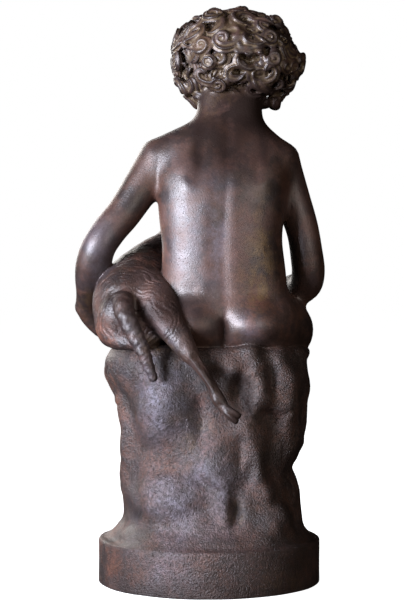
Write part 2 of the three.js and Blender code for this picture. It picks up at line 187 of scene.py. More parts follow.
# Swellings strung along a spline of rows [x, y, z], close enough to make one even ridge, or a furrow if rise < 0
def ridge(volume, path, size, rise):
    rows = splineRows(path, 24)
    size = np.broadcast_to(np.asarray(size, float), 3)
    step = np.linalg.norm(np.diff(rows, axis=0), axis=1).cumsum()
    count = max(2, int(step[-1] / (0.6 * size.min())))
    at = np.linspace(0, step[-1], count)
    middle = np.stack([np.interp(at, np.append(0, step), rows[:, i]) for i in range(3)], axis=1)
    along = (rows[-1] - rows[0]) / np.linalg.norm(rows[-1] - rows[0])
    width = 1 / np.linalg.norm(along / size)
    share = (at[1] - at[0]) / (width * math.sqrt(math.pi))
    swell(volume, np.hstack([middle, np.tile(size, (count, 1)), np.full((count, 1), rise * share)]))


# Smooth noise about 0 with a spread near 1: random numbers on a coarse grid, spread to the fine one along each
# axis in turn with the weights of a quadratic B-spline
def noiseField(volume, spacing, seed):
    gen = np.random.default_rng(seed)
    weights = []
    for line in axes(volume):
        at = line / spacing
        base = np.floor(at.min()) - 1
        knots = base + np.arange(int(np.ceil(at.max()) - base) + 3)
        far = np.abs(at[:, None] - knots[None, :])
        near = np.where(far < 0.5, 0.75 - far ** 2, 0.5 * np.clip(1.5 - far, 0, None) ** 2)
        weights.append(near.astype(np.float32))
    coarse = gen.standard_normal([w.shape[1] for w in weights]).astype(np.float32)
    field = np.tensordot(weights[0], coarse, axes=(1, 0))
    field = np.tensordot(field, weights[1], axes=(1, 1)).transpose(0, 2, 1)
    return np.tensordot(field, weights[2], axes=(2, 1)) * 1.9


print("helpers ready")


# ---------- plinth and rock ----------
plinth = {"radius": 190, "height": 76, "edge": 5}
rock = {
    "seat": 405,
    # [x, y, z, half width, half depth] up the pillar
    "ribs": [[-5, 14, 40, 160, 162], [-5, 14, 80, 161, 162], [-5, 7, 104, 152, 149], [-4, 2, 136, 149, 141],
             [-1, 0, 164, 151, 141], [1, 0, 190, 145, 137], [-7, 0, 218, 150, 137], [-14, 0, 250, 153, 138],
             [-8, 0, 288, 155, 138], [-5, 0, 325, 172, 140], [2, 0, 358, 180, 142], [4, 2, 382, 178, 140],
             [3, 2, 397, 169, 132], [2, 2, 405, 158, 122]],
    "footstone": [[70, -110, 70, 66, 60], [69, -114, 108, 62, 58], [68, -118, 146, 55, 56], [67, -120, 169, 42, 50]],
    # boulders and ridges standing out of the pillar with crisp feet
    "boulders": [
        [[66, 73, 316], [60, 82, 94]], [[52, 70, 150], [78, 80, 58]], [[-14, 92, 232], [44, 54, 62]],
        [[-40, 112, 370], [26, 36, 26]], [[-100, 96, 114], [34, 36, 34]], [[20, 104, 108], [34, 46, 40]],
        [[126, 10, 354], [52, 66, 44]], [[90, -8, 196], [62, 76, 62]], [[-116, -10, 304], [56, 74, 64]],
        [[-100, -20, 150], [52, 70, 56]], [[-120, 60, 262], [34, 40, 40]], [[-30, -92, 330], [56, 56, 66]],
        [[-34, -86, 176], [64, 62, 56]], [[100, -70, 300], [48, 58, 60]]],
    "ridges": [
        [[-68, 118, 396, 16, 20], [-79, 120, 362, 17, 20], [-84, 120, 330, 16, 20], [-72, 120, 300, 13, 16]],
        [[-114, 98, 384, 16, 20], [-127, 92, 342, 17, 20], [-130, 90, 306, 15, 18], [-122, 92, 270, 12, 14]],
        [[-56, 120, 270, 14, 16], [-70, 120, 234, 18, 21], [-80, 118, 200, 17, 20], [-92, 114, 166, 12, 14]],
        [[-6, 126, 200, 12, 14], [-22, 128, 168, 16, 18], [-28, 128, 134, 15, 17], [-34, 128, 104, 12, 14]],
        [[60, -108, 334, 16, 20], [40, -112, 290, 18, 21], [46, -112, 250, 15, 18], [60, -108, 212, 12, 14]],
        [[142, 36, 334, 16, 18], [138, 46, 290, 18, 19], [132, 42, 250, 15, 17], [136, 36, 200, 12, 13]]],
    "lumps": [
        [-50, 140, 338, 12, 44, 18, -17], [-16, 138, 356, 16, 40, 22, -7], [-104, 118, 352, 9, 40, 26, -7],
        [-44, 145, 134, 11, 40, 24, -11], [14, 145, 270, 10, 40, 34, -5], [-52, 140, 236, 9, 40, 26, -7],
        [-96, 126, 290, 12, 40, 18, -6], [-100, 122, 208, 14, 40, 20, -5], [4, -140, 260, 22, 50, 40, -9],
        [120, -90, 250, 24, 50, 18, -7], [-84, -110, 250, 22, 50, 22, -7], [-152, 20, 262, 40, 24, 12, -5],
        [155, 10, 268, 40, 40, 14, -6], [-172, 10, 396, 30, 80, 16, 9]],
    # low ground heaped on the plinth: centre, radii
    "mounds": [[[132, -26, 66], [46, 78, 26]], [[-131, -14, 66], [46, 78, 22]], [[30, 94, 62], [108, 80, 24]],
               [[-20, -126, 66], [66, 42, 20]]],
    "creases": [  # path, size, rise
        ([[24, 145, 190], [4, 145, 178], [-18, 145, 168], [-32, 145, 154]], (9, 30, 7), -4.5),
        ([[30, 148, 232], [12, 145, 254], [8, 145, 286], [14, 145, 318]], (11, 30, 12), -5),
        ([[120, 120, 226], [96, 140, 206], [64, 146, 206], [36, 146, 224]], (13, 30, 10), -5.5),
        ([[-62, 140, 300], [-46, 140, 316], [-44, 140, 346]], (10, 30, 10), -5),
        ([[-60, 140, 250], [-72, 140, 220], [-66, 140, 186]], (9, 30, 12), -4.5),
        ([[-112, 120, 280], [-104, 125, 250], [-112, 120, 224]], (9, 30, 12), -4),
        ([[-40, 150, 170], [-48, 150, 140], [-40, 152, 112]], (9, 30, 10), -5),
        ([[-78, 140, 370], [-60, 140, 352], [-58, 140, 324]], (7, 30, 9), 4)],
    "roughness": [(64, 3.0, 21), (30, 2.0, 22), (14, 0.7, 23)], "cracks": (56, 0.16, 2.6, 25),  # spacing, height, seed
}


# The plinth is a disc turned round Z, its rim rounded by a quarter circle top and bottom
def plinthSkin():
    arc = np.linspace(0, math.pi / 2, 6)
    edge, radius, height = plinth["edge"], plinth["radius"], plinth["height"]
    inset = radius - edge
    lowR, lowZ = inset + 2 * np.sin(arc), 2 - 2 * np.cos(arc)
    r = np.concatenate([[60], lowR + edge - 2, inset + edge * np.cos(arc), [60]])
    z = np.concatenate([[0], lowZ, height - edge + edge * np.sin(arc), [height]])
    a = np.arange(160) * 2 * math.pi / 160
    return closeRings(np.stack([r[:, None] * np.cos(a), r[:, None] * np.sin(a), z[:, None] + 0 * a], axis=-1))


def buildRock():
    volume = newVolume((-200, -215, -6), (205, 205, 420))
    addForm(volume, tubeSkin(rock["ribs"], around=72, steps=4, corner=2.15, level=True, dome=0.0), 1)
    for centre, radii in rock["boulders"]:
        addForm(volume, ballSkin(centre, radii), 16)
    for ribs in rock["ridges"]:
        addForm(volume, tubeSkin(ribs), 22)
    swell(volume, rock["lumps"])
    for path, size, rise in rock["creases"]:
        ridge(volume, path, size, rise)
    addForm(volume, tubeSkin(rock["footstone"], around=48, corner=2.4, level=True, dome=0.2), 14)
    for centre, radii in rock["mounds"]:
        addForm(volume, ballSkin(centre, radii), 26)
    z = axes(volume)[2]
    calm = np.clip((rock["seat"] + 6 - z) / 30, 0.25, 1) * np.clip((z - 60) / 40, 0.2, 1)
    for spacing, height, seed in rock["roughness"]:
        volume["dist"] += height * noiseField(volume, spacing, seed) * calm[None, None, :].astype(np.float32)
    spacing, width, depth, seed = rock["cracks"]  # furrows where a smooth noise passes through nought
    crack = np.exp(-(noiseField(volume, spacing, seed) / width) ** 2) * np.clip(noiseField(volume, 40, 26), 0, 1)
    volume["dist"] += depth * crack * calm[None, None, :].astype(np.float32)
    addForm(volume, plinthSkin(), 11)
    volume["dist"] += 0.35 * noiseField(volume, 34, 24)
    x, y, z = axes(volume)
    floor = (0.0 - z)[None, None, :].astype(np.float32)
    volume["dist"] = np.maximum(volume["dist"], floor)  # cut flat on the ground
    return volume


# ---------- boy ----------
boy = {
    "trunk": [[-26, 48, 396, 100, 56], [-26, 50, 420, 110, 64], [-26, 51, 448, 112, 66], [-26, 49, 482, 109, 64],
              [-24, 50, 530, 106, 60], [-22, 50, 585, 104, 60], [-22, 46, 640, 108, 64], [-23, 37, 690, 110, 63],
              [-25, 29, 728, 100, 54], [-27, 22, 757, 78, 47], [-33, 15, 782, 62, 41], [-35, 11, 806, 56, 39],
              [-36, 3, 832, 55, 40], [-40, -10, 862, 52, 42]],
    "yoke": [[82, 20, 721, 36, 37], [55, 21, 732, 42, 40], [16, 18, 743, 46, 43], [-30, 16, 746, 48, 44],
             [-74, 18, 740, 46, 41], [-98, 20, 729, 42, 39], [-116, 19, 716, 36, 36]],
    "leftArm": [[84, 20, 720, 37, 37], [120, 30, 668, 32, 32], [145, 38, 630, 30, 29.5], [168, 46, 602, 29, 29],
                [186, 51, 574, 29, 29], [196, 38, 546, 30, 30], [203, 12, 520, 27, 27], [208, -15, 494, 23, 22],
                [212, -38, 471, 20, 21]],
    "rightArm": [[-118, 18, 720, 37, 37], [-141, 16, 660, 31, 31], [-157, 12, 610, 29.5, 29.5],
                 [-166, 8, 568, 28.5, 28.5], [-171, 0, 532, 28.5, 28.5], [-166, -18, 508, 28, 28],
                 [-146, -54, 500, 26, 26], [-118, -86, 490, 22, 22], [-94, -112, 482, 18, 20]],
    "rightLeg": [[-90, 44, 444, 64, 57], [-117, -8, 433, 62, 57], [-126, -62, 427, 55, 54], [-130, -114, 430, 47, 48],
                 [-129, -150, 420, 42, 42], [-124, -152, 384, 37, 40], [-117, -138, 328, 35, 42],
                 [-110, -124, 268, 27, 31], [-105, -112, 215, 21, 24]],
    "leftLeg": [[32, 40, 450, 56, 56], [52, -10, 450, 57, 56], [62, -66, 452, 53, 54], [68, -114, 456, 46, 48],
                [70, -150, 448, 42, 42], [70, -156, 408, 37, 40], [68, -140, 350, 35, 42], [66, -122, 290, 27, 31],
                [64, -106, 236, 21, 24]],
    "buttocks": [[[-76, 72, 444], [60, 56, 48]], [[26, 72, 444], [58, 56, 48]]],
    "kneecaps": [[[-129, -170, 436], [26, 20, 26]], [[70, -170, 462], [26, 20, 26]]],
}

# soft swellings of flesh and bone: [x, y, z, sx, sy, sz, rise]
boyShape = [
    [50, 104, 705, 26, 60, 34, 5], [-104, 104, 705, 24, 60, 34, 5],  # shoulder blades
    [34, 112, 676, 16, 50, 12, 3], [-88, 112, 676, 16, 50, 12, 3],
    [10, 110, 758, 34, 50, 20, -2.5], [-64, 110, 758, 30, 50, 20, -2.5],
    [80, 50, 690, 16, 40, 22, 3], [-124, 50, 690, 14, 40, 22, 3],  # folds behind the armpits
    [26, 110, 590, 36, 60, 70, 2.5], [-70, 110, 590, 36, 60, 70, 2],  # the back's long muscles
    [-24, 125, 498, 26, 60, 16, -3], [30, 118, 500, 16, 50, 12, -1.6], [-76, 118, 500, 16, 50, 12, -1.8],  # loins
    [84, 30, 560, 24, 60, 40, -3], [-132, 30, 590, 24, 60, 34, -3],  # waist
    [-68, 128, 436, 34, 50, 24, 6], [22, 128, 436, 34, 50, 24, 6], [-106, 110, 470, 22, 50, 20, -2.5],
    [-24, -24, 545, 60, 50, 44, 7], [22, -34, 690, 30, 40, 24, 4], [-68, -34, 690, 30, 40, 24, 4],  # belly, chest
    [-23, -30, 625, 12, 40, 40, -3], [-22, -22, 770, 14, 30, 10, -5],
    [-117, -176, 392, 16, 24, 20, -3], [-129, -168, 398, 30, 20, 12, -3], [70, -172, 424, 30, 20, 12, -3],
    [-118, -104, 330, 30, 22, 38, 4], [68, -104, 352, 30, 22, 38, 4],  # calves
    [-129, -124, 452, 30, 40, 20, -2], [70, -124, 478, 30, 40, 20, -2]]
boyFurrows = [  # path, size, rise
    ([[-33, 62, 790], [-31, 76, 750], [-29, 92, 705], [-24, 110, 640], [-21, 112, 583], [-22, 116, 520],
      [-24, 120, 480]], (10, 26, 14), -2.6),
    ([[-24, 130, 446], [-25, 130, 424], [-26, 126, 404]], (5, 40, 8), -13),
    ([[-25, 130, 456], [-25, 128, 428], [-26, 124, 400]], (14, 40, 14), -6),
    ([[2, 104, 680], [5, 112, 620], [6, 114, 540], [2, 116, 505]], (13, 26, 16), 1.1),
    ([[-50, 104, 680], [-46, 112, 620], [-45, 114, 540], [-46, 116, 505]], (13, 26, 16), 1.3),
    ([[20, 84, 748], [20, 98, 712], [28, 108, 680]], (10, 26, 14), -2.2),
    ([[-86, 80, 748], [-82, 96, 712], [-80, 108, 680]], (9, 26, 14), -2.8),
    ([[-34, 126, 406], [-70, 130, 400], [-112, 118, 402]], (14, 24, 7), -3.5),
    ([[72, 62, 656], [86, 52, 692], [84, 44, 722]], (7, 16, 8), -2.6),
    ([[-125, 56, 656], [-118, 52, 694]], (7, 16, 8), -2.6),
    ([[-60, 112, 655], [-84, 108, 640], [-104, 96, 634]], (12, 26, 7), -1.2),
    ([[168, 20, 566], [180, 14, 560], [196, 10, 560]], (8, 9, 7), -3),
    ([[-160, -30, 540], [-172, -26, 545], [-184, -18, 548]], (8, 9, 7), -3),
    ([[46, -40, 606], [0, -30, 588], [-44, -30, 590], [-90, -34, 606]], (16, 16, 7), -1.5)]
leftHand = {
    "palm": [[212, -38, 471, 20, 21], [208, -50, 455, 24, 18], [199, -62, 439, 29, 15], [187, -70, 425, 29, 12]],
    "across": (0, 1, 0.2), "knuckle": [184, -70, 426], "reach": [-40, -14, -8], "spread": [0, 15, 1],
    "curl": [-2, 0, 6], "thumb": [[202, -72, 452, 10, 10], [190, -96, 450, 9, 9], [178, -110, 450, 7, 7]]}
rightHand = {
    "palm": [[-94, -112, 482, 18, 18], [-80, -126, 482, 22, 15], [-60, -144, 485, 28, 12.5], [-44, -156, 487, 28, 10.5]],
    "across": (0.5, 0.5, -0.75), "knuckle": [-42, -158, 487], "reach": [44, -24, 0], "spread": [3, 3, -14],
    "curl": [0, 14, 2], "thumb": [[-62, -138, 502, 10, 10], [-42, -146, 516, 9, 9], [-26, -156, 520, 7, 7]]}
leftFoot = {
    "ribs": [[63, -76, 196, 21, 23], [64, -100, 203, 25, 29], [66, -134, 192, 27, 20], [68, -162, 184, 32, 14],
             [68, -177, 181, 31, 10.5]],
    "root": [43, -184, 179], "reach": [0, -22, -4], "spread": [12.3, 0, 0]}
rightFoot = {
    "ribs": [[-104, -76, 194, 21, 21], [-105, -98, 186, 25, 27], [-104, -126, 150, 27, 19], [-102, -145, 118, 32, 14],
             [-101, -153, 102, 31, 10.5]],
    "root": [-76, -157, 97], "reach": [0, -8, -19], "spread": [-12.3, 0, 0]}


# Four fingers side by side from the knuckle along reach, tips bent by curl, and a thumb by its ribs
def addHand(volume, hand):
    part = newVolume(volume["low"] * work["voxel"], (volume["low"] + volume["dist"].shape) * work["voxel"])
    addForm(part, tubeSkin(hand["palm"], across=hand["across"], corner=2.4), 2)
    knuckle, reach, spread, curl = (np.array(hand[key], float) for key in ("knuckle", "reach", "spread", "curl"))
    for i, length in enumerate((0.92, 1, 0.95, 0.78)):
        root = knuckle + spread * (i - 1.5)
        middle, tip = root + 0.55 * length * reach, root + length * (reach + curl)
        finger = [[*(root - 0.3 * reach), 7.5, 8], [*root, 8, 8.6], [*(root + 0.3 * length * reach), 7, 7.4],
                  [*middle, 7.5, 8], [*(0.5 * (middle + tip)), 6.6, 6.8], [*tip, 6.2, 6]]
        addForm(part, tubeSkin(finger, across=hand["spread"], around=20), 4.5)
    addForm(part, tubeSkin(hand["thumb"], across=hand["spread"], around=20), 8)
    mergeDistances(volume, part["low"], part["dist"], 7)


def addFoot(volume, foot):
    addForm(volume, tubeSkin(foot["ribs"]), 16)
    root, reach, spread = (np.array(foot[key], float) for key in ("root", "reach", "spread"))
    for i, size in enumerate((9.6, 6.9, 6.7, 6.4, 6.2)):
        at = root + spread * (i + (0.22 if i else 0)) - 0.16 * i * reach
        long = 1 - 0.1 * i
        toe = [[*(at - 0.5 * reach), size * 0.95, size], [*(at + 0.1 * reach * long), size * 0.85, size * 0.8],
               [*(at + 0.55 * reach * long), size, size * 0.92]]
        addForm(volume, tubeSkin(toe, around=20), 4)


def buildBoy():
    volume = newVolume((-225, -250, 70), (250, 160, 905))
    addForm(volume, tubeSkin(boy["trunk"], around=56, corner=2.25, level=True, dome=0.0), 1)
    for centre, radii in boy["buttocks"]:
        addForm(volume, ballSkin(centre, radii), 16)
    addForm(volume, tubeSkin(boy["yoke"], across=(0, 1, 0), around=40), 22)
    for key, across, soft in (("leftArm", (0, 1, 0), 15), ("rightArm", (0, 1, 0), 12),
                              ("rightLeg", (1, 0, 0), 22), ("leftLeg", (1, 0, 0), 22)):
        addForm(volume, tubeSkin(boy[key], across=across, around=36), soft)
    for centre, radii in boy["kneecaps"]:
        addForm(volume, ballSkin(centre, radii), 18)
    print("boy: trunk and limbs")
    swell(volume, boyShape)
    for path, size, rise in boyFurrows:
        ridge(volume, path, size, rise)
    addFoot(volume, leftFoot)
    addFoot(volume, rightFoot)
    for hand in (leftHand, rightHand):
        low, high = np.array(hand["palm"])[:, :3].min(0) - 75, np.array(hand["palm"])[:, :3].max(0) + 60
        near = newVolume(low, high)
        addHand(near, hand)
        mergeDistances(volume, near["low"], near["dist"], 6)
    print("boy: hands and feet")
    return volume


# ---------- head ----------
# laid out upright about the head's centre with -Y forward, then bowed, leaned and turned as one
head = {"centre": (-44, -42, 897), "turn": (0.38, -0.14, -0.22)}


def turned(skin, centre):
    return skin[0] @ turnMatrix(head["turn"]).T + np.array(centre, float), skin[1]


def onHead(points):
    return np.asarray(points, float) @ turnMatrix(head["turn"]).T + np.array(head["centre"], float)


# A calm child's face: skull, jaw, cheeks and brow run together, then sockets, lids, nose and lips
def buildHead():
    volume = newVolume((-140, -165, 755), (55, 70, 985))

    def add(skin, soft):
        addForm(volume, turned(skin, head["centre"]), soft)

    def mark(rows):
        rows = np.asarray(rows, float)
        swell(volume, np.hstack([onHead(rows[:, :3]), rows[:, 3:]]))

    def line(path, size, rise):
        ridge(volume, onHead(path), size, rise)

    add(ballSkin((0, 0, 2), (70, 86, 78)), 1)
    add(tubeSkin([[0, -10, -22, 58, 66], [0, -34, -52, 47, 45], [0, -52, -76, 35, 29], [0, -62, -90, 22, 17]],
                 around=40), 22)
    add(ballSkin((0, -64, -84), (24, 17, 16)), 20)
    for side in (-1, 1):
        add(ballSkin((27 * side, -50, -44), (26, 27, 26)), 20)
        mark([[28 * side, -84, -19, 15, 14, 9, -6.5]])  # eye socket
        add(ballSkin((28 * side, -67, -20), (14.5, 13, 11.5)), 2.5)  # eye under its lids
        line([[15 * side, -82, -23], [22 * side, -83, -26.5], [33 * side, -79, -26], [41 * side, -70, -22]],
             (2.2, 3, 1.6), -2.0)  # where the lids meet
        line([[14 * side, -82, -15], [24 * side, -83, -8.5], [36 * side, -77, -9.5], [44 * side, -67, -17]],
             (2.4, 3, 1.7), -1.6)  # crease over the lid
        line([[12 * side, -85, 1], [26 * side, -83, 6], [40 * side, -72, 3]], (6, 8, 4), 1.8)  # brow
    add(tubeSkin([[0, -78, -10, 8, 6], [0, -83, -20, 7.5, 6.5], [0, -87, -31, 8.5, 7], [0, -89, -38, 9.5, 7.5]],
                 around=24, dome=0.6), 9)
    for side in (-1, 1):
        add(ballSkin((8 * side, -85, -40), (6, 7, 5)), 5)  # wings of the nose
        mark([[5 * side, -90, -45.5, 2.4, 3, 2, -2.6]])
    mark([[0, -82, -60, 22, 14, 14, 3]])
    add(tubeSkin([[-15, -78, -60, 1.5, 2], [-7, -83.5, -57, 3.6, 2.8], [0, -85, -57.6, 3.2, 2.4],
                  [7, -83.5, -57, 3.6, 2.8], [15, -78, -60, 1.5, 2]], across=(0, 1, 0), around=16, steps=8), 4)
    add(tubeSkin([[-13, -78, -62, 1.5, 2], [-6, -82.5, -65, 4, 3.2], [6, -82.5, -65, 4, 3.2],
                  [13, -78, -62, 1.5, 2]], across=(0, 1, 0), around=16, steps=8), 4)
    line([[-16, -79, -60.6], [-7, -86, -61], [0, -87, -61.5], [7, -86, -61], [16, -79, -60.6]], (2, 3, 1.2), -1.4)
    mark([[0, -88, -51, 2.2, 4, 4.5, -1.1], [0, -82, -72, 9, 8, 3.5, -1.4], [0, -87, -12, 8, 8, 6, -1.0]])
    return volume


# ---------- hair ----------
hair = {"centre": (-46, -28, 896), "radii": (96, 81, 78), "curls": 160, "lift": 22, "crown": (0.05, 0.3, 0.953),
        "low": [[-112, -8, 826, 13, 14, 13], [-96, 6, 822, 11, 11, 11]],
        "pits": [[-57, 62, 892, 6, 24, 5, -11], [-69, 62, 886, 7, 24, 5, -11], [-79, 60, 892, 6, 24, 6, -9],
                 [-98, 54, 900, 6, 24, 8, -8], [-50, 60, 868, 9, 24, 4, -6]]}


# Hair flows from the crown down and outwards. Every lock is a flat rope that starts straight along that flow and
# winds up at its end, heading(t) = bend + spin * turns * 2 pi * t^2.3, with its strands raised along it
def buildHair():
    volume = newVolume((-175, -150, 770), (85, 90, 1012))
    u = np.linspace(math.pi * 0.985, math.pi * 0.015, 150)[:, None]
    v = np.arange(360)[None, :] * 2 * math.pi / 360
    d = np.stack([np.sin(u) * np.cos(v), np.sin(u) * np.sin(v), np.cos(u) + 0 * v], axis=-1)
    cap = d * (np.array(hair["radii"]) + crownStrands(d)[..., None]) * (1 - 0.42 * bareness(d)[..., None])
    addForm(volume, turned(closeRings(cap), hair["centre"]), 1)
    count, golden = hair["curls"], math.pi * (3 - math.sqrt(5))
    i = np.arange(count)
    z = 1 - 2 * (i + 0.5) / count
    out = np.stack([np.sqrt(1 - z * z) * np.cos(golden * i), np.sqrt(1 - z * z) * np.sin(golden * i), z], axis=1)
    out += rng.normal(0, 0.05, out.shape)
    out /= np.linalg.norm(out, axis=1, keepdims=True)
    locks = [lockSkin(d) for d in out[bareness(out) < 0.45]]
    addForm(volume, turned(joinSkins(locks), hair["centre"]), 1.5)
    addForm(volume, joinSkins([ballSkin(row[:3], row[3:]) for row in hair["low"]]), 5)
    swell(volume, hair["pits"])
    volume["dist"] += 1.8 * noiseField(volume, 18, 51) + 0.35 * noiseField(volume, 7, 52)
    print("hair:", len(locks), "locks")
    return volume


# 1 where the face and the under side of the head are bare, 0 where hair grows
def bareness(d):
    t = np.clip((-d[..., 1] - 0.7 * d[..., 2] - 0.5) / 0.25, 0, 1)
    return t * t * (3 - 2 * t)


# How near a direction is to the crown, 1 there and 0 from about 50 degrees away
def nearCrown(d):
    return np.clip((d @ np.array(hair["crown"]) - 0.64) / 0.3, 0, 1)


# Wavy strands running out from the crown, 1.5 mm * sin(72 * angle round it + 7 sin(9 * distance)), on a cap that
# is 6 mm thick
def crownStrands(d):
    crown = np.array(hair["crown"])
    east = np.cross([0, 1, 0], crown)
    east /= np.linalg.norm(east)
    angle = np.arctan2(d @ np.cross(crown, east), d @ east)
    away = np.arccos(np.clip(d @ crown, -1, 1))
    wave = 1.5 * np.sin(72 * angle + 7 * np.sin(9 * away)) + 2.0 * np.sin(11 * angle + 9 * away)
    return 6 + wave + 2 * nearCrown(d)


def lockSkin(out):
    radii, crown = np.array(hair["radii"]), np.array(hair["crown"])
    flat = float(nearCrown(out))
    flow = (out @ crown) * out - crown + rng.normal(0, 0.25, 3)
    flow -= (flow @ out) * out
    flow /= np.linalg.norm(flow)
    side = np.cross(out, flow)
    long = rng.uniform(62, 92)
    turns = rng.uniform(0.75, 1.35) * (1 - 0.6 * flat)
    t = np.linspace(0, 1, 46)
    heading = rng.normal(0, 0.35) + 0.5 * np.sin(7 * t + rng.uniform(0, 6)) + rng.choice(
        [-1, 1]) * turns * 2 * math.pi * t ** 2.3
    p, q = np.cumsum(np.cos(heading)) * long / 46, np.cumsum(np.sin(heading)) * long / 46
    p, q = p - p[24:].mean(), q - q[24:].mean()
    on = out[None] + (flow[None] * p[:, None] + side[None] * q[:, None]) / radii.mean()
    on /= np.linalg.norm(on, axis=1, keepdims=True)
    lift = hair["lift"] * rng.uniform(0.5, 1.1) * (1 - 0.45 * flat)
    centre = on * (radii + (lift * np.sin(math.pi / 2 * np.clip(1.5 * t, 0, 1)) - 4)[:, None])
    taper = np.sin(math.pi * (0.10 + 0.80 * t)) ** 0.6
    ribs = np.hstack([centre, 6.5 * taper[:, None], rng.uniform(6.5, 11.5) * taper[:, None]])
    strands, twist = int(rng.integers(5, 8)), rng.uniform(-9, 9)
    return tubeSkin(ribs, across=out, around=54, steps=2, dome=0.7,
                    ripple=lambda s, b: 0.94 + 0.26 * np.cos(strands * b + twist * s) + 0.1 * np.sin(17 * s + b))


# ---------- lamb ----------
lamb = {
    "fleece": [[148, 104, 452, 38, 42], [144, 86, 460, 50, 54], [137, 52, 480, 60, 63], [123, 8, 500, 61, 64],
               [107, -38, 516, 61, 62], [88, -80, 532, 60, 62], [68, -114, 552, 54, 57], [50, -134, 580, 45, 48],
               [34, -146, 604, 39, 41]],
    "skull": [[30, -148, 616, 34, 35], [8, -162, 630, 32, 34], [-18, -178, 627, 25, 28], [-42, -190, 616, 18, 21],
              [-60, -197, 606, 14, 15]],
    "topknot": [[22, -154, 650], [30, 32, 19]],
    "tail": [[143, 118, 486, 16, 14], [139, 146, 464, 16, 16], [124, 157, 434, 15, 14], [109, 162, 404, 12.5, 12],
             [99, 163, 378, 10, 10], [90, 163, 356, 7, 7]],
    "groin": [[112, 84, 434], [50, 46, 36]],
    "hindLeg": [[104, 58, 492, 42, 42], [88, 92, 472, 38, 38], [70, 120, 449, 30, 27], [48, 142, 420, 20, 18],
                [31, 153, 394, 13.5, 13], [10, 159, 367, 8.8, 9.5], [-6, 162, 342, 8.2, 8.5], [-15, 165, 323, 11, 11],
                [-25, 169, 309, 8.8, 9.2], [-31, 171, 303, 9, 9]],
    "farHaunch": [[164, 62, 442, 24, 32], [158, 92, 428, 26, 25], [136, 114, 416, 20, 15], [112, 126, 412, 14, 10]],
    "foreLeg": [[62, -122, 500, 26, 28], [36, -152, 478, 17, 19], [4, -176, 478, 11, 11], [-26, -186, 466, 9, 9],
                [-38, -190, 440, 8, 8], [-43, -190, 424, 8.5, 8.5]],
    "ears": [[[26, -136, 648, 9, 5], [46, -116, 640, 15, 5.5], [62, -104, 618, 6, 3.5]],
             [[4, -190, 646, 9, 5], [16, -214, 636, 15, 5.5], [24, -226, 612, 6, 3.5]]],
    "wool": {"from": [134, 156, 452], "spacing": 9.0, "height": 1.9, "bend": 6.0},
}


# A cloven hoof: two wedges side by side that end blunt
def hoofSkins(root, tip, across):
    root, tip, across = (np.array(v, float) for v in (root, tip, across))
    across /= np.linalg.norm(across)
    made = []
    for side in (-1, 1):
        a, b = root + across * 3.6 * side, tip + across * 5.0 * side
        made.append(tubeSkin([[*a, 4.6, 8], [*(0.5 * a + 0.5 * b), 5.4, 8.6], [*b, 4.8, 7]], across=across, around=20,
                             corner=2.6, dome=0.5))
    return made


# Wool lies in wavy rows round the tail: height * (|sin(pi f)|^0.8 - 0.5), where f counts rows outwards from the
# tail's root, and smooth noise bends the rows and breaks them up
def woolRows(volume, wool, share):
    x, y, z = (line.astype(np.float32) for line in axes(volume))
    ox, oy, oz = wool["from"]
    far = np.sqrt((x - ox)[:, None, None] ** 2 + 0.8 * (y - oy)[None, :, None] ** 2 + (z - oz)[None, None, :] ** 2)
    bend = wool["bend"] * noiseField(volume, 30, 31) * 0.8 + 3.4 * noiseField(volume, 11, 32)
    row = np.abs(np.sin(math.pi * (far + bend) / wool["spacing"])) ** 0.7 - 0.6
    broken = np.clip(0.8 + 0.5 * noiseField(volume, 14, 33), 0.1, 1.5)
    volume["dist"] -= (wool["height"] * row * broken * share).astype(np.float32)


